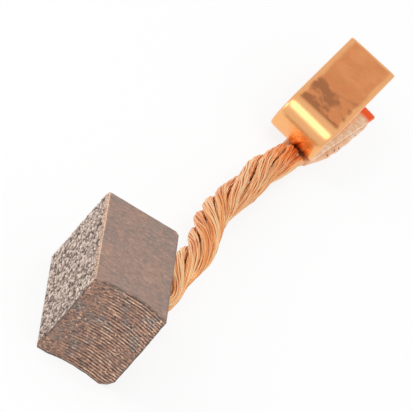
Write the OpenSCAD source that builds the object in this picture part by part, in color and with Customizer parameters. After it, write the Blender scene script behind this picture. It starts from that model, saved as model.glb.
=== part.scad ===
// Carbon brush: a copper-graphite block, a twisted copper lead tamped into its side,
// and a folded copper terminal welded to the lead's flattened end.
// Frame: the origin is the middle of the block's foot, +Y runs from the contact end to
// the back end and on towards the terminal, +X is the side that the lead leaves, +Z is up.
// The brush lies as it comes to rest: block on its foot, terminal flat beside it.

/* [Block] */
// Width, from the rough face to the lead's face
block_w = 8; // [6.5:0.1:11]
// Length, from the contact end to the back end
block_l = 14; // [12:0.5:20]
// Height, from the foot to the smooth top face
block_h = 9.5; // [7:0.5:13]
// Bevel on the ridge between the rough face and the top face
ridge_bevel = 0.38; // [0.1:0.02:0.8]
// Bevel on the three other long edges
edge_bevel = 0.12; // [0.05:0.01:0.5]
// Bevel down the back corner on the lead's side
back_bevel = 0.45; // [0.1:0.05:1]
// Bevel down the back corner on the rough side
back_rough_bevel = 0.2; // [0.1:0.05:1]
// Length worn off each edge at the lower front corner
corner_wear = 0.8; // [0.2:0.1:1.5]

/* [Contact face] */
// Radius of the commutator that wore the face hollow
contact_r = 10; // [8:0.5:30]
// Depth of the hollow at the foot
wear_foot = 0.35; // [0.1:0.05:1]
// Depth of the hollow at the top face
wear_top = 1.15; // [0.2:0.05:2]

/* [Lead anchor] */
// Diameter of the hole that the lead is tamped into
hole_d = 4.2; // [3.8:0.1:5]
// Depth of that hole
hole_depth = 4.8; // [3:0.1:5.2]
// Distance from the back end to the hole's axis
hole_from_back = 4.5; // [3:0.1:7]
// How far the tamped powder stays below the block's face
plug_recess = 0.15; // [0.05:0.05:0.6]

/* [Lead] */
// Diameter of the twisted lead
lead_d = 3.2; // [2.2:0.1:3.4]
// Length of one full turn of the lay, near the block
lay_root = 19.5; // [16:0.5:40]
// Length of one full turn of the lay, near the terminal
lay_end = 42; // [20:1:60]
// How far along the lead the lay slackens
lay_change = 28.5; // [10:0.5:35]
// Angle at which the first strand starts
strand_start = -11; // [-36:1:36]
// Gap between neighbouring strands, in degrees round the lead
strand_gap = 6; // [4:0.5:10]
// Width of the lead where it meets its squeezed end
flare_w = 3; // [2.8:0.1:4.2]
// Height of the lead where it meets its squeezed end
flare_h = 2.0; // [1.6:0.1:2.2]
// Length over which the lead flattens before that place
flare_l = 6; // [4:0.5:12]

/* [Squeezed end] */
// Thickness of the lead's squeezed and welded end
pad_t = 1.0; // [0.7:0.05:1.4]
// Width of the squeezed end
pad_w = 4.5; // [4.2:0.1:5.2]
// Width at its far end
pad_far_w = 3.6; // [3:0.1:4]
// Length of the flat part of the squeezed end
pad_l = 14; // [12:0.5:14]
// Distance of the lead's axis from the middle of the strip, at the bend
pad_side = 0.85; // [0:0.05:1.2]
// Radius of the squeezed end's two far corners
pad_corner_r = 0.8; // [0.3:0.1:1.4]

/* [Terminal] */
// Width of the copper strip
strip_w = 5.8; // [5:0.1:8]
// Thickness of the copper strip
strip_t = 0.7; // [0.4:0.05:0.9]
// Length of the flat upper leg
upper_leg = 15.8; // [12:0.1:24]
// Length of the flat lower leg
lower_leg = 13.5; // [13.5:0.5:20]
// Outer radius of the fold
fold_r = 2.1; // [1.5:0.05:2.4]
// Angle of the fold's line off square, which turns the lower leg by twice as much
fold_skew = 2.9; // [0:0.1:4]

/* [Where the terminal lies] */
// Distance of the fold's middle from the block's middle, along X
terminal_x = 19.45; // [17:0.05:24]
// Distance of the fold's middle from the block's middle, along Y
terminal_y = 44; // [42:0.25:52]
// Angle of the terminal off the block's length
terminal_turn = 21.3; // [15:0.1:28]

/* [Hidden] */
$fn = 96;
eps = 0.01;
// Clearance between the tamped powder and what it grips
fit_gap = 0.02;
// Strands laid up in the lead, each of them one node
strands = 5;

// ---- Where the lead leaves the block, and where it meets its squeezed end ----
exit = [block_w / 2, block_l / 2 - hole_from_back, block_h / 2];
lead_r = lead_d / 2;
// The lead stands out from the face by this much before it turns along the block
turn_out = 0.6 * lead_d;

function turned(p, a) = [p[0] * cos(a) + p[1] * sin(a), p[1] * cos(a) - p[0] * sin(a)];
// A point given across and along the terminal, seen in the part's own frame
function terminal_point(p) = [terminal_x, terminal_y] + turned(p, terminal_turn);

// The squeezed end starts clear of the fold, and the strip's lower leg lies along it
flare_clear = 0.3;
flare_at = [pad_side, -fold_r - flare_clear];
lead_turn = terminal_turn + 2 * fold_skew;
lead_dir = turned([0, 1], lead_turn);
joint_xy = terminal_point(flare_at);
joint = [joint_xy[0], joint_xy[1], flare_h / 2];

// ---- The lead's route, as the control points of a smooth curve ----
// Each row is a point that the lead hangs through: how far along from the block to the
// terminal, how far aside, and how far above the straight line between them
hang = [[0.133, 0.5, 0.5], [0.273, 1.05, 0.95], [0.424, -1, 0.9], [0.56, -1.22, 0.7],
        [0.682, -0.63, 0.6], [0.815, -1.1, 0.55]];
root = [for (f = [0.92, 0.5, 0.13]) exit - [f * hole_depth, 0, 0]];
bow = [for (b = [[0.3, 0], [0.8, 0.27], [1, 0.97]]) exit + turn_out * [b[0], b[1], 0]];
slack = [for (h = hang) exit + h[0] * (joint - exit) + [h[1], 0, h[2]]];
// It comes in straight over this length, from this much above the squeezed end
run_in_l = 3.3;
run_in_rise = 0.42;
run_in = [joint + [-run_in_l * lead_dir[0], -run_in_l * lead_dir[1], run_in_rise]];
route = concat(root, bow, slack, run_in, [joint]);

// A uniform cubic B-spline that starts and ends on the first and last control points
function ends_mirrored(p) = concat([2 * p[0] - p[1]], p, [2 * p[len(p) - 1] - p[len(p) - 2]]);
function blend(t) = [pow(1 - t, 3), 3 * pow(t, 3) - 6 * t * t + 4,
                     -3 * pow(t, 3) + 3 * t * t + 3 * t + 1, pow(t, 3)] / 6;
function slope(t) = [-(1 - t) * (1 - t), 3 * t * t - 4 * t, -3 * t * t + 2 * t + 1, t * t] / 2;
function mixed(p, i, w) = w[0] * p[i] + w[1] * p[i + 1] + w[2] * p[i + 2] + w[3] * p[i + 3];

steps = 6;
spans = len(route) - 1;
knots = ends_mirrored(route);
stations = [for (i = [0:spans * steps]) [min(floor(i / steps), spans - 1), i / steps]];
centre = [for (s = stations) mixed(knots, s[0], blend(s[1] - s[0]))];
heading = [for (s = stations) mixed(knots, s[0], slope(s[1] - s[0]))];
last = len(centre) - 1;
run = [for (i = 0, d = 0; i <= last; d = d + (i < last ? norm(centre[i + 1] - centre[i]) : 0), i = i + 1) d];

// ---- One strand: a rounded wedge of the lead, swept along the route as it turns ----
wedge_points = 10;
wedge_mid = 0.6 * lead_r;
wedge_half = 0.4 * lead_r;
function softened(v) = sign(v) * pow(abs(v), 0.8);
// A strand's outline in the lead's cross section, as radius and angle from its middle
function wedge(j) = [wedge_mid + wedge_half * softened(cos(360 * j / wedge_points)),
                     (180 / strands - strand_gap / 2) * softened(sin(360 * j / wedge_points))];
// How far the lead has flattened at a station: 0 is round, 1 is the flare
function flat(i) = let (f = max(0, 1 - (run[last] - run[i]) / flare_l)) f * f * (3 - 2 * f);
function across(i) = 1 + (flare_w / lead_d - 1) * flat(i);
function upright(i) = 1 + (flare_h / lead_d - 1) * flat(i);
// Turns of the lay from the root to a station: tight at first, and slack after a soft change
lay_soft = 1.2;
function turns(i) = run[i] / lay_end + (1 / lay_root - 1 / lay_end)
    * (run[i] - lay_soft * ln(1 + exp((run[i] - lay_change) / lay_soft)));
function side(i) = [heading[i][1], -heading[i][0], 0] / norm([heading[i][0], heading[i][1]]);
function strand_point(k, i, j) =
    let (w = wedge(j), a = strand_start + 360 * (k / strands + turns(i)) + w[1])
    centre[i] + side(i) * (w[0] * cos(a) * across(i)) + [0, 0, w[0] * sin(a) * upright(i)];

module strand(k) {
    n = wedge_points;
    points = [for (i = [0:last]) for (j = [0:n - 1]) strand_point(k, i, j)];
    near_cap = [[for (j = [0:n - 1]) j]];
    far_cap = [[for (j = [n - 1:-1:0]) last * n + j]];
    walls = [for (i = [0:last - 1]) for (j = [0:n - 1])
        let (a = i * n + j, b = i * n + (j + 1) % n)
        each [[a, a + n, b + n], [a, b + n, b]]];
    polyhedron(points, concat(near_cap, walls, far_cap), convexity = 12);
}

module lead_strand_1() { color("#e8a878") strand(0); }
module lead_strand_2() { color("#e2a070") strand(1); }
module lead_strand_3() { color("#ecae80") strand(2); }
module lead_strand_4() { color("#dc9a6a") strand(3); }
module lead_strand_5() { color("#e6a474") strand(4); }

// ---- The block ----
// Section across the block, with its four long edges bevelled
module block_section() {
    w = block_w / 2;
    polygon([[-w + edge_bevel, 0], [w - edge_bevel, 0], [w, edge_bevel],
             [w, block_h - edge_bevel], [w - edge_bevel, block_h],
             [-w + ridge_bevel, block_h], [-w, block_h - ridge_bevel], [-w, edge_bevel]]);
}

// Plan of the block, with its two back corners bevelled
module block_plan() {
    w = block_w / 2;
    l = block_l / 2;
    polygon([[-w, -l], [w, -l], [w, l - back_bevel], [w - back_bevel, l],
             [-w + back_rough_bevel, l], [-w, l - back_rough_bevel]]);
}

// What the commutator wore away, deeper towards the top face
module worn_hollow() {
    lean = atan((wear_top - wear_foot) / block_h);
    translate([0, wear_foot - block_l / 2 - contact_r, 0])
        rotate([-lean, 0, 0])
            translate([0, 0, -block_h]) cylinder(r = contact_r, h = 3 * block_h, $fn = 180);
}

// The lower front corner on the lead's side, knocked off by a slanting cut
module worn_corner() {
    s = 2 * corner_wear;
    translate([block_w / 2, -block_l / 2, 0])
        rotate([0, acos(-1 / sqrt(3)), -45])
            translate([-s, -s, -corner_wear / sqrt(3)]) cube([2 * s, 2 * s, s]);
}

module lead_hole() {
    translate([exit[0] - hole_depth, exit[1], exit[2]])
        rotate([0, 90, 0]) cylinder(d = hole_d, h = hole_depth + 1);
}

module carbon_block() {
    color("#a08878")
    difference() {
        intersection() {
            translate([0, block_l / 2, 0]) rotate([90, 0, 0]) linear_extrude(block_l) block_section();
            linear_extrude(block_h) block_plan();
        }
        worn_hollow();
        worn_corner();
        lead_hole();
    }
}

// Copper powder tamped round the lead's root, which fills the hole to just below its mouth
module tamping_plug() {
    plug_l = hole_depth - plug_recess;
    floor_t = 0.05 * hole_depth;
    color("#b87850")
    translate([exit[0] - hole_depth, exit[1], exit[2]]) rotate([0, 90, 0])
    difference() {
        cylinder(d = hole_d - 2 * fit_gap, h = plug_l);
        translate([0, 0, floor_t]) cylinder(r = lead_r + fit_gap, h = plug_l);
    }
}

// ---- The squeezed end: strands pressed and welded into one flat bar ----
function arc(c, r, a, b) = [for (i = [0:6]) c + r * [cos(a + (b - a) * i / 6), sin(a + (b - a) * i / 6)]];
// Where the lead has come down to the bar's thickness
pad_from = 1.7;
// Where it has spread to its full width
pad_taper = 5.8;
// Where it starts to narrow again
pad_narrow = 10;
// How much wider than the lead's flare it starts
pad_lip = 0.1;

module pad_plan() {
    n = flare_w / 2 + pad_lip;
    w = pad_w / 2;
    f = pad_far_w / 2;
    r = pad_corner_r;
    far = pad_from + pad_l;
    polygon(concat([[-w, pad_narrow], [-w, pad_taper], [-n, pad_from], [n, pad_from], [w, pad_taper], [w, pad_narrow]],
                   arc([f - r, far - r], r, 0, 90), arc([r - f, far - r], r, 90, 180)));
}

module lead_end() {
    color("#f0c8a8")
    translate([joint[0], joint[1], 0]) rotate([0, 0, -lead_turn]) {
        linear_extrude(pad_t) pad_plan();
        hull() {
            translate([0, eps, flare_h / 2]) rotate([90, 0, 0])
                linear_extrude(eps) scale([flare_w / flare_h, 1]) circle(d = flare_h, $fn = 32);
            translate([-flare_w / 2 - pad_lip, pad_from, 0]) cube([flare_w + 2 * pad_lip, eps, pad_t]);
        }
    }
}

// ---- The terminal: one copper strip folded back on itself ----
under = pad_t;
over = pad_t + 2 * fold_r;
// Half the strip's width, measured along the line of the fold
fold_half = strip_w / 2 / cos(fold_skew);

module at_terminal() {
    translate([terminal_x, terminal_y, 0]) rotate([0, 0, -terminal_turn]) children();
}

module upper_leg_plan() {
    w = strip_w / 2;
    k = tan(fold_skew);
    polygon([[-w, w * k], [w, -w * k], [w, upper_leg], [-w, upper_leg]]);
}

// The lower leg's plan in its own axes, with its near end on the line of the fold
module lower_leg_plan() {
    w = strip_w / 2;
    k = tan(fold_skew);
    polygon([[-w, -w * k], [w, w * k], [w, lower_leg], [-w, lower_leg]]);
}

// The curved part: half a ring about the line of the fold
module fold() {
    rotate([0, 0, -fold_skew])
    translate([-fold_half, 0, under + fold_r]) rotate([0, 90, 0])
    difference() {
        cylinder(r = fold_r, h = 2 * fold_half);
        translate([0, 0, -1]) cylinder(r = fold_r - strip_t, h = 2 * fold_half + 2);
        translate([-fold_r - 1, 0, -1]) cube([2 * fold_r + 2, fold_r + 1, 2 * fold_half + 2]);
    }
}

module terminal_strip() {
    color("#d08850")
    at_terminal() {
        translate([0, 0, over - strip_t]) linear_extrude(strip_t) upper_leg_plan();
        fold();
        translate([0, 0, under])
            rotate([0, 0, -2 * fold_skew]) linear_extrude(strip_t) lower_leg_plan();
    }
}

carbon_block();
tamping_plug();
lead_strand_1();
lead_strand_2();
lead_strand_3();
lead_strand_4();
lead_strand_5();
lead_end();
terminal_strip();
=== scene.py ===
# %% [markdown]
# # Dressing a carbon brush
# A carbon brush is a small block of pressed copper and graphite that slides on a motor's commutator.
# A twisted copper lead comes out of its side, and a folded copper strip is welded on the lead's end.
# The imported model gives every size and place. Here each piece gets the surface of the real one.

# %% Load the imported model
import math
import bpy
import numpy as np
from mathutils import Matrix, Vector, noise


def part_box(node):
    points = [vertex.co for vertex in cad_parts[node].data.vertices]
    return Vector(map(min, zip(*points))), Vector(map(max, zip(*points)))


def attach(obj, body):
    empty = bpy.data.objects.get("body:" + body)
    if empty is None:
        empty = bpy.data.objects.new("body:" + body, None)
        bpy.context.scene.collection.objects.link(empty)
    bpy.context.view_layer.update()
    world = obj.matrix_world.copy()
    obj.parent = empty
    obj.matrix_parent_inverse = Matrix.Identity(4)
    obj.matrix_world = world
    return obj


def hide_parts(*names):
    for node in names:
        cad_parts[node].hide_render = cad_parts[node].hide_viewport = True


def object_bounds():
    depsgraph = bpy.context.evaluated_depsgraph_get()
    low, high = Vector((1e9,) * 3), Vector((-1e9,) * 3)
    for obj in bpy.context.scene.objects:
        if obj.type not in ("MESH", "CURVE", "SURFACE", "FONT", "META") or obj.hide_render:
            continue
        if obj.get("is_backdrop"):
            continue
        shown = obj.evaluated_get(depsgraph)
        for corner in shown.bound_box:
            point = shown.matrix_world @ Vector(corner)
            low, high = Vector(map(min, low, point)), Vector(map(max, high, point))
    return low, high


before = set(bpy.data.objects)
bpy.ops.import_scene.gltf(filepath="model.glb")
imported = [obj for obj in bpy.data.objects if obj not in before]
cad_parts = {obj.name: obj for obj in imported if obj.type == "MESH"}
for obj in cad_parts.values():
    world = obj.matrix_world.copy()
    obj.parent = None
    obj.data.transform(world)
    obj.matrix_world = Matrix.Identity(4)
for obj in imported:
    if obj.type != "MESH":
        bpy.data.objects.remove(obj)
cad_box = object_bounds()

MM = 0.001
print("nodes:", ", ".join(sorted(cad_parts)))

# %% [markdown]
# ## Camera
# A long lens far away shows a small object as a product picture does, with almost parallel edges.
# The camera is turned about its own line of sight, so the block's long edges stand up in the picture.
# It is placed by two angles, a roll and a distance, which is easier to read than a matrix.

# %% Place the camera
view_turn = math.radians(-19.43)
view_rise = math.radians(31.83)
view_roll = math.radians(41.64)
view_far = 600 * MM
aim = Vector((2.373, 1.867, 16.847)) * MM
flat_reach = math.cos(view_rise)
towards = Vector((math.sin(view_turn) * flat_reach, -math.cos(view_turn) * flat_reach,
                  math.sin(view_rise)))
level = Vector((math.cos(view_turn), math.sin(view_turn), 0))
upright = towards.cross(level)
right = level * math.cos(view_roll) + upright * math.sin(view_roll)
over = towards.cross(right)

lens = bpy.data.cameras.new("camera")
lens.lens = 576.6
lens.sensor_width = 36
lens.clip_end = 10
camera = bpy.data.objects.new("camera", lens)
turn = Matrix((right, over, towards)).transposed().to_4x4()
camera.matrix_world = Matrix.Translation(aim + towards * view_far) @ turn
bpy.context.scene.collection.objects.link(camera)
bpy.context.scene.camera = camera
print("camera at", [round(v / MM) for v in camera.location], "mm")

# %% [markdown]
# ## Meshes from arrays
# Every piece here follows a rule: a grid, a swept section or a bundle of wires. Working the points out
# as arrays and handing them over in one go is fast, and gives full control over where each one lies.

# %% Turn arrays of points and faces into a piece of the model
def make_piece(name, points_mm, quads, finishes, which=None, smooth=True):
    mesh = bpy.data.meshes.new(name)
    faces = [list(map(int, quad)) for quad in quads]
    mesh.from_pydata((np.asarray(points_mm) * MM).tolist(), [], faces)
    for finish in finishes:
        mesh.materials.append(finish)
    if which is not None:
        mesh.polygons.foreach_set("material_index", np.asarray(which, np.int32))
    mesh.polygons.foreach_set("use_smooth", np.full(len(mesh.polygons), smooth))
    mesh.update()
    piece = bpy.data.objects.new(name, mesh)
    bpy.context.scene.collection.objects.link(piece)
    return piece


def seat(piece, slot, *nodes):
    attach(piece, "root")
    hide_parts(*nodes)
    corners = sum(len(p.vertices) - 2 for p in piece.data.polygons)
    print(f"{piece.name}: {corners} triangles")


# %% Join rings of points into a skin
def skin(rings, around, first=0):
    i = np.arange(rings - 1)[:, None] * around
    j = np.arange(around)[None, :]
    k = (j + 1) % around
    return first + np.stack([i + j, i + k, i + around + k, i + around + j], -1).reshape(-1, 4)


# %% [markdown]
# ## Finishes
# Each finish is one node material. A small helper adds nodes and wires them up, so that a finish reads
# as a recipe: noise for the grain, a ramp that turns it into colour, and bumps for the relief.
# All grain sizes are in millimetres.

# %% A helper that mixes a finish
def shade(code):
    parts = [int(code[i:i + 2], 16) / 255 for i in (1, 3, 5)]
    return [p / 12.92 if p <= 0.04045 else ((p + 0.055) / 1.055) ** 2.4 for p in parts] + [1]


class Finish:
    def __init__(self, name, metallic, roughness):
        self.material = bpy.data.materials.new(name)
        self.material.use_nodes = True
        self.tree = self.material.node_tree
        self.shader = self.tree.nodes["Principled BSDF"]
        self.shader.inputs["Metallic"].default_value = metallic
        self.shader.inputs["Roughness"].default_value = roughness
        self.place = self.add("ShaderNodeTexCoord").outputs["Object"]

    def add(self, kind, **settings):
        node = self.tree.nodes.new(kind)
        for key, value in settings.items():
            setattr(node, key, value)
        return node

    def feed(self, socket, value):
        if isinstance(value, bpy.types.NodeSocket):
            self.tree.links.new(value, socket)
        else:
            socket.default_value = value

    def axes(self, shift=(0, 0, 0), turn=0, stretch=(1, 1, 1)):
        node = self.add("ShaderNodeMapping", vector_type="TEXTURE")
        node.inputs["Location"].default_value = [s * MM for s in shift]
        node.inputs["Rotation"].default_value = (0, 0, turn)
        node.inputs["Scale"].default_value = [s * MM for s in stretch]
        self.feed(node.inputs["Vector"], self.place)
        return node.outputs["Vector"]

    def grain(self, size, detail=3, roughness=0.55, stretch=(1, 1, 1), place=None, distortion=0):
        node = self.add("ShaderNodeTexNoise")
        self.feed(node.inputs["Vector"], place or self.axes(stretch=stretch))
        node.inputs["Scale"].default_value = 1 / size
        node.inputs["Detail"].default_value = detail
        node.inputs["Roughness"].default_value = roughness
        node.inputs["Distortion"].default_value = distortion
        return node.outputs["Fac"]

    def ramp(self, value, *stops):
        node = self.add("ShaderNodeValToRGB")
        band = node.color_ramp
        while len(band.elements) < len(stops):
            band.elements.new(0.5)
        for element, (at, code) in zip(band.elements, stops):
            element.position = at
            element.color = shade(code) if isinstance(code, str) else (code, code, code, 1)
        self.feed(node.inputs["Fac"], value)
        return node.outputs["Color"]

    def mix(self, share, a, b, blend="MIX"):
        node = self.add("ShaderNodeMix", data_type="RGBA", blend_type=blend)
        self.feed(node.inputs[0], share)
        self.feed(node.inputs[6], shade(a) if isinstance(a, str) else a)
        self.feed(node.inputs[7], shade(b) if isinstance(b, str) else b)
        return node.outputs[2]

    def sum(self, how, a, b, clamp=False):
        node = self.add("ShaderNodeMath", operation=how, use_clamp=clamp)
        self.feed(node.inputs[0], a)
        self.feed(node.inputs[1], b)
        return node.outputs[0]

    def split(self, vector):
        node = self.add("ShaderNodeSeparateXYZ")
        self.feed(node.inputs[0], vector)
        return node.outputs

    def between(self, value, low, high):
        node = self.add("ShaderNodeMapRange", interpolation_type="SMOOTHSTEP")
        self.feed(node.inputs["Value"], value)
        node.inputs["From Min"].default_value = low
        node.inputs["From Max"].default_value = high
        return node.outputs["Result"]

    def painted(self, layer):
        return self.add("ShaderNodeAttribute", attribute_name=layer).outputs["Fac"]

    # Darkens the colour along the block's edges, as much as the edge layer says
    def darkened_edge(self, share):
        return self.sum("MULTIPLY", self.painted("edge"), share)

    def colour(self, value):
        self.feed(self.shader.inputs["Base Color"], value)

    def rough(self, value):
        self.feed(self.shader.inputs["Roughness"], value)

    def bump(self, height, depth, strength=1.0):
        node = self.add("ShaderNodeBump")
        node.inputs["Strength"].default_value = strength
        node.inputs["Distance"].default_value = depth * MM
        self.feed(node.inputs["Height"], height)
        self.feed(self.shader.inputs["Normal"], node.outputs["Normal"])


# %% [markdown]
# ## The block's surfaces
# The block is pressed from copper and graphite powder, so up close it is a mottle of pinkish copper and
# grey graphite. Each side was made in another way: the top is ground smooth, one side kept the grain
# of the press, and the contact face is turned into fine rings and streaks by the commutator.

# %% Ground face
def ground_face():
    f = Finish("ground_face", 0, 0.6)
    fine = f.grain(0.2, 3, 0.6, stretch=(2, 1, 1))
    broad = f.grain(1.7, 3, 0.55)
    tone = f.ramp(broad, (0.36, "#85776f"), (0.5, "#93796d"), (0.66, "#a98470"))
    specks = f.ramp(fine, (0.3, "#6a5951"), (0.5, "#92786b"), (0.64, "#b08d7c"), (0.76, "#e9bfa6"))
    plain = f.mix(0.5, tone, specks)
    f.colour(f.mix(f.darkened_edge(0.85), plain, "#5f564f"))
    f.bump(fine, 0.02, 0.4)
    return f.material


# %% Granular side
def granular_side():
    f = Finish("granular_side", 0, 0.55)
    crest = f.painted("crest")
    fine = f.grain(0.22, 3, 0.6)
    height = f.sum("ADD", f.sum("MULTIPLY", crest, 0.8), f.sum("MULTIPLY", fine, 0.4))
    # Painted shade: the hollows between the grains and the pit are painted dark over the grain's own
    # copper and graphite mottle
    specks = f.ramp(height, (0.2, "#2c221d"), (0.42, "#6d5a50"), (0.66, "#b19b8d"),
                    (0.9, "#dcc8ba"), (1, "#f6e6da"))
    front_corner = f.split(f.axes(shift=(0, -7, 0), stretch=(1, 0.9, 2.5)))
    away = f.sum("ADD", front_corner["Y"], front_corner["Z"])
    worn = f.between(f.sum("ADD", away, f.sum("MULTIPLY", fine, 0.3)), 1.3, 1.0)
    rubbed = f.ramp(fine, (0.3, "#54403a"), (0.5, "#9c7a68"), (0.7, "#d8a687"))
    f.colour(f.mix(f.darkened_edge(0.7), f.mix(worn, specks, rubbed), "#6e645c"))
    f.bump(height, 0.08, 1.0)
    return f.material


# %% Contact face, streaked across by the commutator
def contact_face():
    f = Finish("contact_face", 0, 0.45)
    streaks = f.grain(0.17, 2, 0.6, stretch=(4, 1, 1))
    specks = f.grain(0.17, 3, 0.65, stretch=(1.6, 1, 1))
    blotches = f.grain(1.5, 3, 0.6)
    place = f.split(f.axes())
    ring_pitch, ring_depth = 0.3, 0.13
    drift = f.sum("MULTIPLY", f.grain(3, 2, 0.5, stretch=(3, 1, 1)), 9)
    turn = f.sum("ADD", f.sum("MULTIPLY", place["Z"], 2 * math.pi / ring_pitch), drift)
    wave = f.sum("SINE", turn, 0)
    broken = f.ramp(f.grain(1.8, 2, 0.5, stretch=(2, 1, 1)), (0.35, 0.3), (0.55, 1.0))
    clear = f.sum("MULTIPLY", f.between(place["X"], -4.2, 1.5), broken)
    rings = f.sum("MULTIPLY", f.sum("MULTIPLY", wave, ring_depth), clear)
    height = f.sum("ADD", f.sum("MULTIPLY", streaks, 0.5), f.sum("MULTIPLY", specks, 0.5))
    height = f.sum("ADD", height, rings)
    base = f.ramp(height, (0.3, "#2e2019"), (0.42, "#6e554b"), (0.52, "#997563"),
                  (0.62, "#c79477"), (0.74, "#ffdab9"))
    grey = f.ramp(height, (0.3, "#2b2724"), (0.45, "#6d625b"), (0.58, "#94857b"),
                  (0.74, "#e6d3c2"))
    body = f.mix(f.ramp(blotches, (0.5, 0.0), (0.66, 0.85)), base, grey)
    glints = f.ramp(f.grain(0.16, 1, 0.5, stretch=(2.2, 1, 1)), (0.66, 0.0), (0.74, 1.0))
    body = f.mix(glints, body, "#ffd7b4")
    f.colour(f.mix(f.darkened_edge(0.75), body, "#4c443e"))
    f.bump(height, 0.08, 0.8)
    return f.material


# %% Chamfer along the ridge, where bright copper shows
def rubbed_ridge():
    f = Finish("rubbed_ridge", 0, 0.5)
    fine = f.grain(0.22, 4, 0.6)
    f.colour(f.ramp(fine, (0.3, "#8f7567"), (0.45, "#c9a38a"), (0.6, "#e4c0a6"), (0.72, "#f8dcc6")))
    f.bump(fine, 0.04, 0.6)
    return f.material


# %% [markdown]
# ## The block
# A closed grid of small cells is wrapped round the block and then shaped the way the block was made:
# the front is pushed back to the commutator's curve, edges are cut by slanting planes, and the
# grain is pressed inwards only, so the block never grows beyond its packed size.

# %% The block's sizes
block_low, block_high = (np.array(c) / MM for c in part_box("carbon_block"))
block_w, block_l, block_h = block_high - block_low
contact_r = 10
wear_foot, wear_top = 0.35, 1.15
hole_d, hole_depth, hole_from_back = 4.2, 4.8, 4.5
plug_recess, fit_gap = 0.15, 0.02
edge_bevel, lead_back_bevel, rough_back_bevel, top_back_bevel = 0.12, 0.45, 0.3, 0.2
ridge_cut = 0.62
exit_point = np.array([block_high[0], block_high[1] - hole_from_back, block_h / 2])
print("block", np.round(block_high - block_low, 2), "mm")


# %% A closed grid with finer cells towards its edges
def grid_lines(count):
    t = np.linspace(0, 1, count + 1)
    return t - 0.35 * np.sin(2 * np.pi * t) / (2 * np.pi)


def wrapped_grid(counts):
    nx, ny, nz = counts
    where = np.indices((nx + 1, ny + 1, nz + 1)).reshape(3, -1).T
    at_end = (where == 0) | (where == np.array(counts))
    cells = where[at_end.any(1)]
    number = np.full((nx + 1, ny + 1, nz + 1), -1)
    number[tuple(cells.T)] = np.arange(len(cells))
    faces, sides = [], []
    for axis, size in enumerate(counts):
        for end in (0, size):
            sheet = np.take(number, end, axis)
            quad = np.stack([sheet[:-1, :-1], sheet[1:, :-1], sheet[1:, 1:], sheet[:-1, 1:]], -1)
            quad = quad.reshape(-1, 4)
            flip = (end == 0) != (axis == 1)
            faces.append(quad[:, ::-1] if flip else quad)
            sides.append(np.full(len(quad), 2 * axis + (end > 0)))
    return cells, np.concatenate(faces), np.concatenate(sides)


# %% Noise that is worked out point by point
def relief(points, size, seed, octaves=2):
    total = np.zeros(len(points))
    for octave in range(octaves):
        scale = 2 ** octave / size
        shifted = points * scale + seed * 17.3
        total += np.array([noise.noise(Vector(p)) for p in shifted]) / 2 ** octave
    return total


# %% Shape the grid into the block
def cut_by_plane(points, normal, reach):
    normal = np.array(normal, float) / np.linalg.norm(normal)
    beyond = np.clip(points @ normal - reach, 0, None)
    return points - beyond[:, None] * normal


def contact_curve(x, z):
    lean = math.atan((wear_top - wear_foot) / block_h)
    axis_y = wear_foot + block_low[1] - contact_r + z * math.tan(lean)
    return np.maximum(block_low[1], axis_y + np.sqrt(contact_r ** 2 - x ** 2) / math.cos(lean))


def block_points(cells, counts):
    share = np.stack([grid_lines(n)[cells[:, a]] for a, n in enumerate(counts)], 1)
    x = block_low[0] + share[:, 0] * block_w
    z = share[:, 2] * block_h
    front = contact_curve(x, z)
    y = front + share[:, 1] * (block_high[1] - front)
    points = np.stack([x, y, z], 1)
    w, l = block_w / 2, block_l / 2
    along = (y + l) / block_l
    taper = 0.16 + 0.17 * along + 0.06 * relief(points * [0, 1, 0], 1.1, 3)
    ridge = np.array([-1, 0, 1]) / math.sqrt(2)
    beyond = np.clip(points @ ridge - (w + block_h - taper) / math.sqrt(2), 0, None)
    points = points - beyond[:, None] * ridge
    for side in ((1, 0, 1), (1, 0, -1), (-1, 0, -1)):
        reach = (w + (block_h if side[2] > 0 else 0) - edge_bevel) / math.sqrt(2)
        points = cut_by_plane(points, side, reach)
    points = cut_by_plane(points, (1, 1, 0), (w + l - lead_back_bevel) / math.sqrt(2))
    points = cut_by_plane(points, (-1, 1, 0), (w + l - rough_back_bevel) / math.sqrt(2))
    points = cut_by_plane(points, (0, 1, 1), (l + block_h - top_back_bevel) / math.sqrt(2))
    # Rounded top corners at the back: each row is a direction, and how deep the plane cuts
    back_cuts = ((-1, 1, 1, 0.5), (1, 1, 1, 0.6), (-1, 2, 1, 0.5), (-2, 1, 1, 0.6), (1, 1, 2, 0.6))
    for out, back, up, deep in back_cuts:
        reach = abs(out) * w + back * l + up * block_h - deep
        points = cut_by_plane(points, (out, back, up), reach / math.hypot(out, back, up))
    # The corner that was knocked off at the foot of the contact face
    front_cuts = ((1, 1, 1, 0.8), (2, 1, 1, 1.05), (1, 1, 2, 1.05), (1, 2, 1, 1.05))
    for out, front, down, deep in front_cuts:
        reach = out * w + front * l - deep
        points = cut_by_plane(points, (out, -front, -down), reach / math.hypot(out, front, down))
    return points


# %% How near each point is to an edge, and how much darker that edge is made
def edge_shade(points):
    x, y, z = points.T
    gaps = np.stack([x - block_low[0], block_high[0] - x, y - contact_curve(x, z),
                     block_high[1] - y, z, block_high[2] - z], 1)
    near = np.sort(gaps, 1)[:, 1]
    dark = np.clip(1.5 - near / 0.14, 0, 1) * np.clip(0.75 + relief(points, 0.5, 11), 0, 1)
    return near, np.where(gaps[:, 0] + gaps[:, 5] < 0.85, 0, dark)


# %% Grains of the pressed side: cells with narrow gaps between them
def pebbles(points, size, gap):
    nearest = np.array([noise.voronoi(Vector(p / size))[0][:2] for p in points])
    return np.clip((nearest[:, 1] - nearest[:, 0]) / gap, 0, 1)


# %% Press the grain into it
grain_depth, pit_depth = 0.16, 0.3
pit_at, pit_size = np.array([-block_w / 2, -6.46, 1.43]), np.array([1, 0.3, 0.26])


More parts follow.
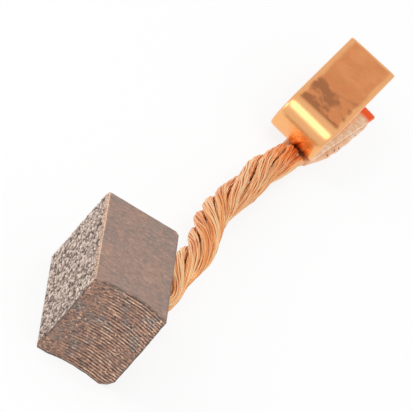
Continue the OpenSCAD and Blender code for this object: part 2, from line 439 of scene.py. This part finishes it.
def press_grain(points, cells, counts):
    def on(axis, end):
        return cells[:, axis] == (counts[axis] if end else 0)

    near, edge = edge_shade(points)
    rough = on(0, 0)
    crest = np.full(len(points), 0.5)
    bent = points[rough] + 0.12 * relief(points[rough], 0.6, 5)[:, None]
    grains = pebbles(bent, 0.4, 0.22) * np.clip(0.8 + 0.8 * relief(points[rough], 0.4, 1), 0, 1)
    pit = np.exp(-np.linalg.norm((points[rough] - pit_at) / pit_size, axis=1) ** 2)
    # crest also sets how dark granular_side paints each point, as painted shade in the hollows
    crest[rough] = np.clip(grains - pit, 0, 1)
    soft = np.clip(0.5 + relief(points, 0.7, 2), 0, 1)
    fade = np.clip(near / 0.3, 0.1, 1)
    inward = np.zeros_like(points)
    inward[rough, 0] += grain_depth * (1 - grains) * fade[rough] + pit_depth * pit
    inward[:, 0] -= on(0, 1) * 0.02 * soft
    inward[:, 1] += on(1, 0) * 0.04 * soft
    inward[:, 1] -= on(1, 1) * 0.03 * soft
    inward[:, 2] -= on(2, 1) * 0.012 * soft
    inward[:, 2] += on(2, 0) * 0.012 * soft
    return points + inward, crest, edge


# %% Open a round hole: take cells away, pull their rim onto a circle and carry it inwards
def open_hole(points, quads, sides, crest, edge, at, radius, deep):
    offset = points[quads].mean(1) - at
    gone = (sides == 1) & (np.hypot(offset[:, 1], offset[:, 2]) < radius)
    arrows = np.concatenate([quads[gone][:, [i, (i + 1) % 4]] for i in range(4)])
    known = set(map(tuple, arrows))
    arrows = np.array([arrow for arrow in arrows if (arrow[1], arrow[0]) not in known])
    ahead = dict(arrows)
    loop = [arrows[0][0]]
    while ahead[loop[-1]] != loop[0]:
        loop.append(ahead[loop[-1]])
    loop = np.array(loop)
    out = (points[loop] - at) * [0, 1, 1]
    out /= np.linalg.norm(out, axis=1)[:, None]
    points = points.copy()
    points[loop] = at + radius * out
    rings = [at - [d, 0, 0] + r * out for d, r in ((0.15, radius), (deep, radius), (deep, 0.02))]
    numbers = [loop] + [len(points) + len(loop) * i + np.arange(len(loop)) for i in range(3)]
    points = np.vstack([points] + rings)
    bore = [np.stack([a, np.roll(a, -1), np.roll(b, -1), b], 1) for a, b in zip(numbers, numbers[1:])]
    quads = np.concatenate([quads[~gone]] + bore)
    sides = np.concatenate([sides[~gone], np.full(3 * len(loop), 6)])
    used, quads = np.unique(quads, return_inverse=True)
    more = 3 * len(loop)
    crest, edge = np.append(crest, np.full(more, 0.5)), np.append(edge, np.zeros(more))
    return points[used], quads.reshape(-1, 4), sides, crest[used], edge[used]


# %% Make the block
block_cells = (76, 150, 116)
cells, quads, sides = wrapped_grid(block_cells)
points, crest, edge = press_grain(block_points(cells, block_cells), cells, block_cells)
points, quads, sides, crest, edge = open_hole(points, quads, sides, crest, edge,
                                              exit_point, hole_d / 2, hole_depth)
towards_ridge = points[quads].mean(1) @ np.array([-1, 0, 1])
beside_ridge = (sides == 0) | (sides == 5)
on_ridge = (towards_ridge > block_w / 2 + block_h - ridge_cut) & beside_ridge
block_finishes = [ground_face(), granular_side(), contact_face(), rubbed_ridge()]
finish_of_side = np.array([1, 0, 2, 0, 0, 0, 0])[sides]
corner, second, _, fourth = np.moveaxis(points[quads], 1, 0)
facing = np.abs(np.cross(second - corner, fourth - corner))
least, most = np.minimum(facing[:, 0], facing[:, 2]), np.maximum(facing[:, 0], facing[:, 2])
finish_of_side[on_ridge & (least > 0.45 * most)] = 3
block = make_piece("block_body", points, quads, block_finishes, finish_of_side)
for label, values in (("crest", crest), ("edge", edge)):
    layer = block.data.attributes.new(label, "FLOAT", "POINT")
    layer.data.foreach_set("value", values.astype(np.float32))
seat(block, "copper_graphite", "carbon_block")

# %% [markdown]
# ## Tamped powder
# The lead is held by copper powder that is rammed round it in the hole. It is a plain ring of the
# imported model's size, with a pitted face, and most of it lies out of sight.

# %% Tamped copper powder
def tamped_powder():
    f = Finish("tamped_powder", 0.3, 0.7)
    fine = f.grain(0.2, 4, 0.7)
    f.colour(f.ramp(fine, (0.32, "#4a2c1e"), (0.52, "#96603f"), (0.7, "#c98f66")))
    f.bump(fine, 0.12, 1)
    return f.material


lead_d = 3.2
lead_r = lead_d / 2
outer, inner = hole_d / 2 - fit_gap, lead_r + fit_gap
plug_end = hole_depth - 0.3
plug_profile = [(outer, 0.28), (hole_d / 2 - 0.12, plug_recess), (lead_r + 0.2, plug_recess),
                (inner, 0.3), (inner, plug_end), (outer, plug_end)]
plug_sides = 96
angles = np.linspace(0, 2 * np.pi, plug_sides, endpoint=False)
plug_rings = [np.stack([np.full(plug_sides, -d), r * np.cos(angles), r * np.sin(angles)], 1)
              for r, d in plug_profile]
plug_points = exit_point + np.stack(plug_rings)
plug_face = plug_points[1:4]
pitted = relief(plug_face.reshape(-1, 3), 0.3, 7).reshape(3, plug_sides)
plug_points[1:4, :, 0] -= 0.06 * np.clip(pitted, 0, 1)
last_ring = (len(plug_profile) - 1) * plug_sides
j = np.arange(plug_sides)
k = (j + 1) % plug_sides
closing = np.stack([last_ring + j, last_ring + k, k, j], 1)
plug_quads = np.concatenate([skin(len(plug_profile), plug_sides), closing])
plug = make_piece("tamped_ring", plug_points.reshape(-1, 3), plug_quads[:, ::-1], [tamped_powder()])
seat(plug, "copper_powder", "tamping_plug")

# %% [markdown]
# ## The lead's route
# The lead comes straight out of the block, turns along it, hangs in a slack curve and comes down to
# the terminal. A smooth curve through given points is how a cord is usually laid out. The
# points are the imported model's own, so the wires lie where its strands do.

# %% Where the terminal lies
terminal_at = np.array([19.45, 44])
terminal_turn = math.radians(21.3)
fold_skew = math.radians(2.9)
fold_r, strip_t, strip_w = 2.1, 0.7, 5.8
pad_t, pad_side, flare_w, flare_h, flare_clear = 1.0, 0.85, 3.0, 2.0, 0.3
pad_from, pad_taper, pad_narrow, pad_far = 1.7, 5.8, 10, 15.7
pad_w, pad_far_w = 4.5, 3.6
lead_turn = terminal_turn + 2 * fold_skew


def turned(across, along, angle):
    x = across * math.cos(angle) + along * math.sin(angle)
    y = along * math.cos(angle) - across * math.sin(angle)
    return x, y


lead_heading = np.array([*turned(0, 1, lead_turn), 0])
lead_across = np.array([*turned(1, 0, lead_turn), 0])
joint_at = terminal_at + turned(pad_side, -fold_r - flare_clear, terminal_turn)
joint = np.array([*joint_at, flare_h / 2])
print("the lead meets its squeezed end at", np.round(joint, 2), "mm")

# %% The route as a smooth curve
turn_out = 0.6 * lead_d
hang = [(0.133, 0.5, 0.5), (0.273, 1.05, 0.95), (0.424, -1, 0.9), (0.56, -1.22, 0.7),
        (0.682, -0.63, 0.6), (0.815, -1.1, 0.55)]
root = [exit_point - [f * hole_depth, 0, 0] for f in (0.92, 0.5, 0.13)]
bow = [exit_point + turn_out * np.array([x, y, 0]) for x, y in ((0.3, 0), (0.8, 0.27), (1, 0.97))]
slack = [exit_point + f * (joint - exit_point) + np.array([aside, 0, up]) for f, aside, up in hang]
run_in_l, run_in_rise = 3.3, 0.42
run_in = [joint - run_in_l * lead_heading + [0, 0, run_in_rise]]
route = np.array(root + bow + slack + run_in + [joint])


def smooth_curve(knots, steps):
    ends = np.vstack([2 * knots[0] - knots[1], knots, 2 * knots[-1] - knots[-2]])
    stations = np.arange((len(knots) - 1) * steps + 1)
    span = np.minimum(stations // steps, len(knots) - 2)
    t = (stations / steps - span)[:, None]
    weights = [(1 - t) ** 3, 3 * t ** 3 - 6 * t ** 2 + 4, -3 * t ** 3 + 3 * t ** 2 + 3 * t + 1, t ** 3]
    return sum(w / 6 * ends[span + i] for i, w in enumerate(weights))


free_lead = smooth_curve(route, 16)
pressed = np.arange(1, 11) * 0.2
pressed_tall = flare_h + (pad_t - flare_h) * np.minimum(pressed / pad_from, 1)
pressed_lead = joint + pressed[:, None] * lead_heading
pressed_lead[:, 2] = pressed_tall / 2
middle = np.vstack([free_lead, pressed_lead])
step = np.linalg.norm(np.diff(middle, axis=0), axis=1)
run = np.concatenate([[0], np.cumsum(step)])
joint_run = run[len(free_lead) - 1]
heading = np.gradient(middle, axis=0)
sideways = np.stack([heading[:, 1], -heading[:, 0], 0 * run], 1)
sideways /= np.linalg.norm(sideways, axis=1)[:, None]
print(f"lead {joint_run:.1f} mm long, {len(run)} stations")

# %% [markdown]
# ## Strands and wires
# Five strands are laid up left-handed, and each is a bunch of fine bare wires. Every wire is its own
# thin tube, and wanders a little in its strand, because that is what makes a lead look like copper
# wire and not like a carved rope. A core behind the wires stops light from leaking through; its dark
# red-brown is painted shade for the gaps.

# %% How the lead flattens, and a point in its section
flare_l, strands, strand_gap = 6, 5, 6
wedge_mid, wedge_half = 0.6 * lead_r, 0.4 * lead_r
closeness = np.clip(1 - (joint_run - run) / flare_l, 0, 1)
flatness = closeness ** 2 * (3 - 2 * closeness)
spread = 1 + (flare_w / lead_d - 1) * flatness
squeeze = 1 + (flare_h / lead_d - 1) * flatness
squeeze[-len(pressed):] = pressed_tall / lead_d

# The lay is tight near the block and slackens softly part of the way along
lay_root, lay_end, lay_change, lay_soft = 19.5, 42, 28.5, 1.2
strand_start = math.radians(-11)
tight_run = run - lay_soft * np.log1p(np.exp((run - lay_change) / lay_soft))
turns = run / lay_end + (1 / lay_root - 1 / lay_end) * tight_run
print(f"{turns[-1]:.2f} turns of lay")


def softened(value):
    return np.sign(value) * np.abs(value) ** 0.8


def lead_point(strand, around, inset):
    radius = wedge_mid + (wedge_half - inset) * softened(np.cos(around))
    share = 1 - inset / 0.55
    wedge = math.radians(180 / strands - strand_gap / 2) * softened(np.sin(around)) * share
    angle = strand_start + 2 * np.pi * (strand / strands + turns) + wedge
    return (middle + sideways * (radius * np.cos(angle) * spread)[:, None]
            + np.array([0, 0, 1]) * (radius * np.sin(angle) * squeeze)[:, None])


# %% A wire as a thin tube along a path
def on_table(points):
    return np.column_stack([points[:, :2], np.maximum(points[:, 2], 0)])


def tube(path, radius, sides):
    ahead = np.gradient(path, axis=0)
    ahead /= np.linalg.norm(ahead, axis=1)[:, None]
    out = np.cross(ahead, sideways)
    out /= np.linalg.norm(out, axis=1)[:, None]
    beside = np.cross(ahead, out)
    angle = np.linspace(0, 2 * np.pi, sides, endpoint=False)[None, :, None]
    ring = np.cos(angle) * out[:, None] + np.sin(angle) * beside[:, None]
    return on_table((path[:, None] + radius * ring).reshape(-1, 3))


# %% Bare copper wire, each with its own tone
def wire_copper():
    f = Finish("wire_copper", 0.85, 0.36)
    tone = f.painted("tone")
    patches = f.grain(1.6, 3, 0.6)
    mixed = f.sum("ADD", f.sum("MULTIPLY", tone, 0.6), f.sum("MULTIPLY", patches, 0.4))
    f.colour(f.ramp(mixed, (0.2, "#ef9c5e"), (0.45, "#fbb678"), (0.75, "#ffd9a8")))
    f.rough(f.ramp(patches, (0.3, 0.3), (0.7, 0.45)))
    return f.material


# Painted shade: the core is coloured dark red-brown so the gaps between the wires look like shadowed
# grooves
def core_in_painted_shade():
    f = Finish("core_in_painted_shade", 0.6, 0.5)
    f.colour(f.ramp(f.grain(0.5), (0.3, "#a8501f"), (0.7, "#d67a3e")))
    return f.material


# %% Lay the wires of one strand
wire_d = 0.18
wires_in_strand = 25
wire_sides, core_sides, core_inset = 6, 12, 0.11
luck = np.random.default_rng(8)
wire_finish, core_finish = wire_copper(), core_in_painted_shade()


def wander(size, *lengths):
    waves = [np.sin(2 * np.pi * (run / length + luck.random())) for length in lengths]
    return size * sum(waves) / len(lengths)


def strand_piece(k):
    points, quads, which, tones = [], [], [], []
    first = 0
    for wire in range(wires_in_strand):
        around = 2 * np.pi * wire / wires_in_strand + wander(0.16, 9, 21, 4.6)
        inset = wire_d / 2 + np.abs(wander(0.07, 3.7, 11))
        ring = tube(lead_point(k, around, inset), wire_d / 2, wire_sides)
        points.append(ring)
        quads.append(skin(len(run), wire_sides, first))
        which.append(np.zeros(len(quads[-1]), int))
        tone = np.clip(luck.random() + wander(0.2, 13, 6), 0, 1)
        tones.append(np.repeat(tone, wire_sides))
        first += len(ring)
    core = np.stack([lead_point(k, np.full(len(run), 2 * np.pi * j / core_sides), core_inset)
                     for j in range(core_sides)], 1)
    points.append(on_table(core.reshape(-1, 3)))
    quads.append(skin(len(run), core_sides, first))
    which.append(np.ones(len(quads[-1]), int))
    tones.append(np.zeros(len(run) * core_sides))
    piece = make_piece(f"wires_{k + 1}", np.concatenate(points), np.concatenate(quads),
                       [wire_finish, core_finish], np.concatenate(which))
    tone = piece.data.attributes.new("tone", "FLOAT", "POINT")
    tone.data.foreach_set("value", np.concatenate(tones).astype(np.float32))
    seat(piece, "lead_copper", f"lead_strand_{k + 1}")


for k in range(strands):
    strand_piece(k)

# %% [markdown]
# ## The squeezed end
# Past the flare the wires are pressed and welded into one flat bar. It is swept from the lead's oval
# section to a flat one, with uneven edges and a few pits, and its metal is paler than the strip's.

# %% Welded copper
def welded_copper():
    f = Finish("welded_copper", 0.6, 0.5)
    fine = f.grain(0.3, 4, 0.6)
    broad = f.grain(1.4, 3, 0.6)
    pale = f.ramp(broad, (0.35, "#f6b98a"), (0.55, "#fdd2ae"), (0.75, "#ffe6cc"))
    pits = f.ramp(f.grain(0.55, 2, 0.5), (0.28, 1.0), (0.34, 0.0))
    f.colour(f.mix(pits, pale, "#6b5648"))
    f.bump(fine, 0.05, 0.6)
    return f.material


# %% Sweep the bar
bar_sides, bar_step = 64, 0.1
bar_bulge, bar_corner_r, flat_square = 0.1, 0.8, 0.45
# Under the flare the bar is kept this much smaller, so that the wires cover it
under_wires = 0.85


def bar_section(along):
    angle = np.linspace(0, 2 * np.pi, bar_sides, endpoint=False)
    if along < pad_from:
        share = along / pad_from
        half = (flare_w / 2 + bar_bulge * share) * under_wires
        tall = (flare_h + (pad_t - flare_h) * share) * under_wires
        square = 1 - (1 - flat_square) * share
    else:
        half = np.interp(along, [pad_from, pad_taper, pad_narrow, pad_far],
                         [flare_w / 2 + bar_bulge, pad_w / 2, pad_w / 2, pad_far_w / 2])
        tall, square = pad_t, flat_square
    near_end = max(0, along - (pad_far - bar_corner_r))
    half -= bar_corner_r - math.sqrt(max(0, bar_corner_r ** 2 - near_end ** 2))
    x = half * np.sign(np.cos(angle)) * np.abs(np.cos(angle)) ** square
    z = tall / 2 * (1 + np.sign(np.sin(angle)) * np.abs(np.sin(angle)) ** square)
    return x, z


def bar_points():
    stops = np.concatenate([np.arange(0, pad_far, bar_step), [pad_far]])
    rings = []
    for along in stops:
        x, z = bar_section(along)
        at = np.array([joint[0], joint[1], 0]) + along * lead_heading
        rings.append(at + x[:, None] * lead_across + z[:, None] * np.array([0, 0, 1]))
    points = np.array(rings)
    lumps = relief(points.reshape(-1, 3), 1.5, 5).reshape(points.shape[:2])
    middle_line = points.mean(1, keepdims=True)
    shrink = 1 - 0.05 * np.clip(0.5 + lumps, 0, 1)[..., None]
    return middle_line + (points - middle_line) * shrink


bar = bar_points()
bar_quads = skin(len(bar), bar_sides)[:, ::-1]
caps = [[e + j, e + j + 1, e + bar_sides - 2 - j, e + bar_sides - 1 - j]
        for e in (0, (len(bar) - 1) * bar_sides) for j in range(bar_sides // 2 - 1)]
bar_end = make_piece("welded_bar", bar.reshape(-1, 3), np.concatenate([bar_quads, caps]),
                     [welded_copper()])
seat(bar_end, "welded_copper", "lead_end")

# %% [markdown]
# ## The terminal
# The terminal is one strip of copper folded back on itself, along a line a little off square. A
# section with rounded, slightly dropped edges, as shears leave them, is carried along the strip's
# length and bent round the fold. Bending it as a sheet keeps its thickness true everywhere.

# %% The strip's section
rim, rim_drop, drop_w = 0.16, 0.1, 0.75


def strip_section():
    half = strip_w / 2
    flat = np.concatenate([[0, 0.05, 0.12, 0.2, 0.32, 0.5, 0.75], np.linspace(1.1, 2 * half - 1.1, 22),
                           2 * half - np.array([0.75, 0.5, 0.32, 0.2, 0.12, 0.05, 0])])
    u = flat - half
    gap = half - np.abs(u)
    fall = rim_drop * np.clip(1 - gap / drop_w, 0, 1) ** 2
    fall += rim - np.sqrt(rim ** 2 - np.clip(rim - gap, 0, rim) ** 2)
    top = np.stack([u, strip_t / 2 - fall], 1)
    return np.concatenate([top, (top * [1, -1])[::-1][1:-1]]), len(u)


# %% Carry it along the strip and round the fold
upper_leg, lower_leg = 15.8, 13.5
top_z = pad_t + 2 * fold_r
# The outside of the fold is drawn in a little, as bending does to a strip's edges
fold_pinch = 0.045


def on_upper(u, h, share):
    v = upper_leg + share * (-u * math.tan(fold_skew) - upper_leg)
    return u, v, top_z - strip_t / 2 + h


def on_fold(u, h, bend):
    c = u / math.cos(fold_skew) * (1 - fold_pinch * np.sin(bend) * (h > 0))
    out = (fold_r - strip_t / 2 + h) * np.sin(bend)
    x, y = turned(c, -out, fold_skew)
    return x, y, pad_t + fold_r + (fold_r - strip_t / 2 + h) * np.cos(bend)


def on_lower(u, h, share):
    v = u * math.tan(fold_skew) + share * (lower_leg - u * math.tan(fold_skew))
    x, y = turned(u, v, 2 * fold_skew)
    return x, y, pad_t + strip_t / 2 - h


def from_end(place, share):
    if place is on_upper:
        return share * upper_leg
    if place is on_lower:
        return (1 - share) * lower_leg
    return math.inf


section, strip_count = strip_section()
u, h = section.T
upper_shares = np.concatenate([[0, 0.003, 0.008, 0.015, 0.03], np.linspace(0.05, 1, 90)])
lower_shares = np.concatenate([np.linspace(0, 0.96, 70), [0.98, 0.99, 1]])
stops = [(on_upper, s) for s in upper_shares]
stops += [(on_fold, b) for b in np.linspace(0, np.pi, 48)[1:-1]]
stops += [(on_lower, s) for s in lower_shares]
rings = []
for place, share in stops:
    thin = 1 - 0.3 * max(0, 1 - from_end(place, share) / 0.5) ** 2
    x, y, z = place(u, h * thin, share)
    fx, fy = turned(x, y, terminal_turn)
    rings.append(np.stack([terminal_at[0] + fx, terminal_at[1] + fy, z], 1))
strip_points = np.array(rings)
around = len(section)
strip_quads = skin(len(stops), around)[:, ::-1]
caps = [[e + j, e + j + 1, e + (around - 1 - j) % around, e + (around - j) % around]
        for e in (0, (len(stops) - 1) * around) for j in range(strip_count - 1)]
print("strip", len(stops), "stations of", around, "points")


# %% Rolled copper, browned on the flat, its rims burnished and brightened with painted highlight, a painted highlight on the fold and painted shade at the lower leg's far end
def rolled_copper():
    f = Finish("rolled_copper", 1, 0.3)
    place = f.axes((terminal_at[0], terminal_at[1], 0), -terminal_turn)
    x, y, z = f.split(place)
    cloud = f.grain(1.9, 4, 0.6)
    fine = f.grain(0.5, 4, 0.6)
    edge = f.sum("SUBTRACT", strip_w / 2, f.sum("ABSOLUTE", x, 0))
    end = f.sum("SUBTRACT", upper_leg, y)
    inside = f.sum("MINIMUM", edge, end)
    uneven = f.sum("MULTIPLY", f.sum("SUBTRACT", cloud, 0.5), 0.8)
    # The rims and far end are painted brighter: partly burnish, partly painted highlight where the
    # rounded edges catch the light
    rubbed = f.between(f.sum("ADD", inside, uneven), 0.75, 0.3)
    copper = f.ramp(cloud, (0.3, "#e48c52"), (0.55, "#f09a5c"), (0.8, "#f2a565"))
    burnish_and_highlight = f.mix(rubbed, copper, "#ffb878")
    patches = f.ramp(cloud, (0.42, 0.0), (0.56, 1.0))
    brown = f.sum("MULTIPLY", patches, f.between(y, 9.5, 4.5))
    brown = f.sum("MULTIPLY", brown, f.between(y, -0.2, 0.6))
    brown = f.sum("MULTIPLY", brown, f.sum("SUBTRACT", 1.0, rubbed), True)
    tarnished = f.mix(f.sum("MULTIPLY", brown, 0.85), burnish_and_highlight, "#a8683e")
    # Painted highlight: the fold is painted pale, for the broad light along the bend
    bend = f.between(y, 0.4, -0.4)
    fold_with_painted_highlight = f.mix(bend, tarnished, "#ffbd80")
    # The lower leg takes the weld's pale colour, and past 11 mm along it a red-orange painted shade,
    # for its far end in the dark under the upper leg lit by light bounced off copper
    low = f.between(z, 2.4, 1.9)
    weld = f.mix(f.ramp(fine, (0.35, 0.0), (0.6, 1.0)), "#ffd9b8", "#f3bd92")
    weld_and_end_shade = f.mix(f.between(y, 11, 12), weld, "#ff5a18")
    f.colour(f.mix(f.sum("MULTIPLY", low, f.between(y, -1.2, 0)), fold_with_painted_highlight, weld_and_end_shade))
    dull = f.sum("ADD", f.sum("MULTIPLY", brown, 0.5), f.sum("MULTIPLY", fine, 0.3))
    f.rough(f.ramp(dull, (0.1, 0.24), (0.7, 0.45)))
    f.bump(fine, 0.02, 0.4)
    return f.material


strip = make_piece("folded_strip", strip_points.reshape(-1, 3),
                   np.concatenate([strip_quads, caps]), [rolled_copper()])
seat(strip, "strip_copper", "terminal_strip")

# %% [markdown]
# ## Floor and light
# The brush lies on a pale floor under soft, even light. The floor looks white to the eye of the camera
# but keeps the shadow under the piece. Broad lamps give copper the long soft highlights it needs.

# %% Floor
def pale_floor():
    f = Finish("pale_floor", 0, 0.9)
    f.shader.inputs["Base Color"].default_value = (0.9, 0.9, 0.9, 1)
    seen = f.add("ShaderNodeLightPath").outputs
    glow = f.add("ShaderNodeEmission")
    glow.inputs["Strength"].default_value = 1
    both = f.add("ShaderNodeMixShader")
    rays = f.sum("MAXIMUM", seen["Is Camera Ray"], seen["Is Glossy Ray"])
    f.feed(both.inputs[0], f.sum("MULTIPLY", rays, 0.82))
    f.tree.links.new(f.shader.outputs[0], both.inputs[1])
    f.tree.links.new(glow.outputs[0], both.inputs[2])
    output = f.tree.nodes["Material Output"]
    f.tree.links.new(both.outputs[0], output.inputs["Surface"])
    return f.material


reach = 900
floor_corners = [[x * reach, y * reach, 0] for x, y in ((-1, -1), (1, -1), (1, 1), (-1, 1))]
floor = make_piece("floor", floor_corners, [[0, 1, 2, 3]], [pale_floor()], smooth=False)
floor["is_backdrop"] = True

# %% World
world = bpy.data.worlds.new("studio")
bpy.context.scene.world = world
world.use_nodes = True
sky = world.node_tree.nodes["Background"]
sky.inputs["Color"].default_value = (1, 1, 1, 1)
sky.inputs["Strength"].default_value = 0.8
bpy.context.scene.view_settings.view_transform = "Standard"


# %% Lamps
lit_place = Vector((9, 20, 4)) * MM


def lamp(name, direction, size, strength, distance=320):
    light = bpy.data.lights.new(name, "AREA")
    light.shape = "DISK"
    light.size = size * MM
    light.energy = strength
    body = bpy.data.objects.new(name, light)
    away = Vector(direction).normalized()
    body.location = lit_place + away * distance * MM
    body.rotation_euler = away.to_track_quat("Z", "Y").to_euler()
    bpy.context.scene.collection.objects.link(body)


lamp("overhead", (-0.15, -0.15, 1), 260, 0.24)
lamp("from the rough side", (-1, -0.1, 0.6), 200, 0.2)

# %% Print the size before and after dressing
bpy.context.view_layer.update()
seen_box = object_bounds()
rows = [[list(map(float, corner)) for corner in pair] for pair in (cad_box, seen_box)]
for name, pair in zip(("packed", "dressed"), rows):
    print(name, [[round(c / MM, 3) for c in corner] for corner in pair])
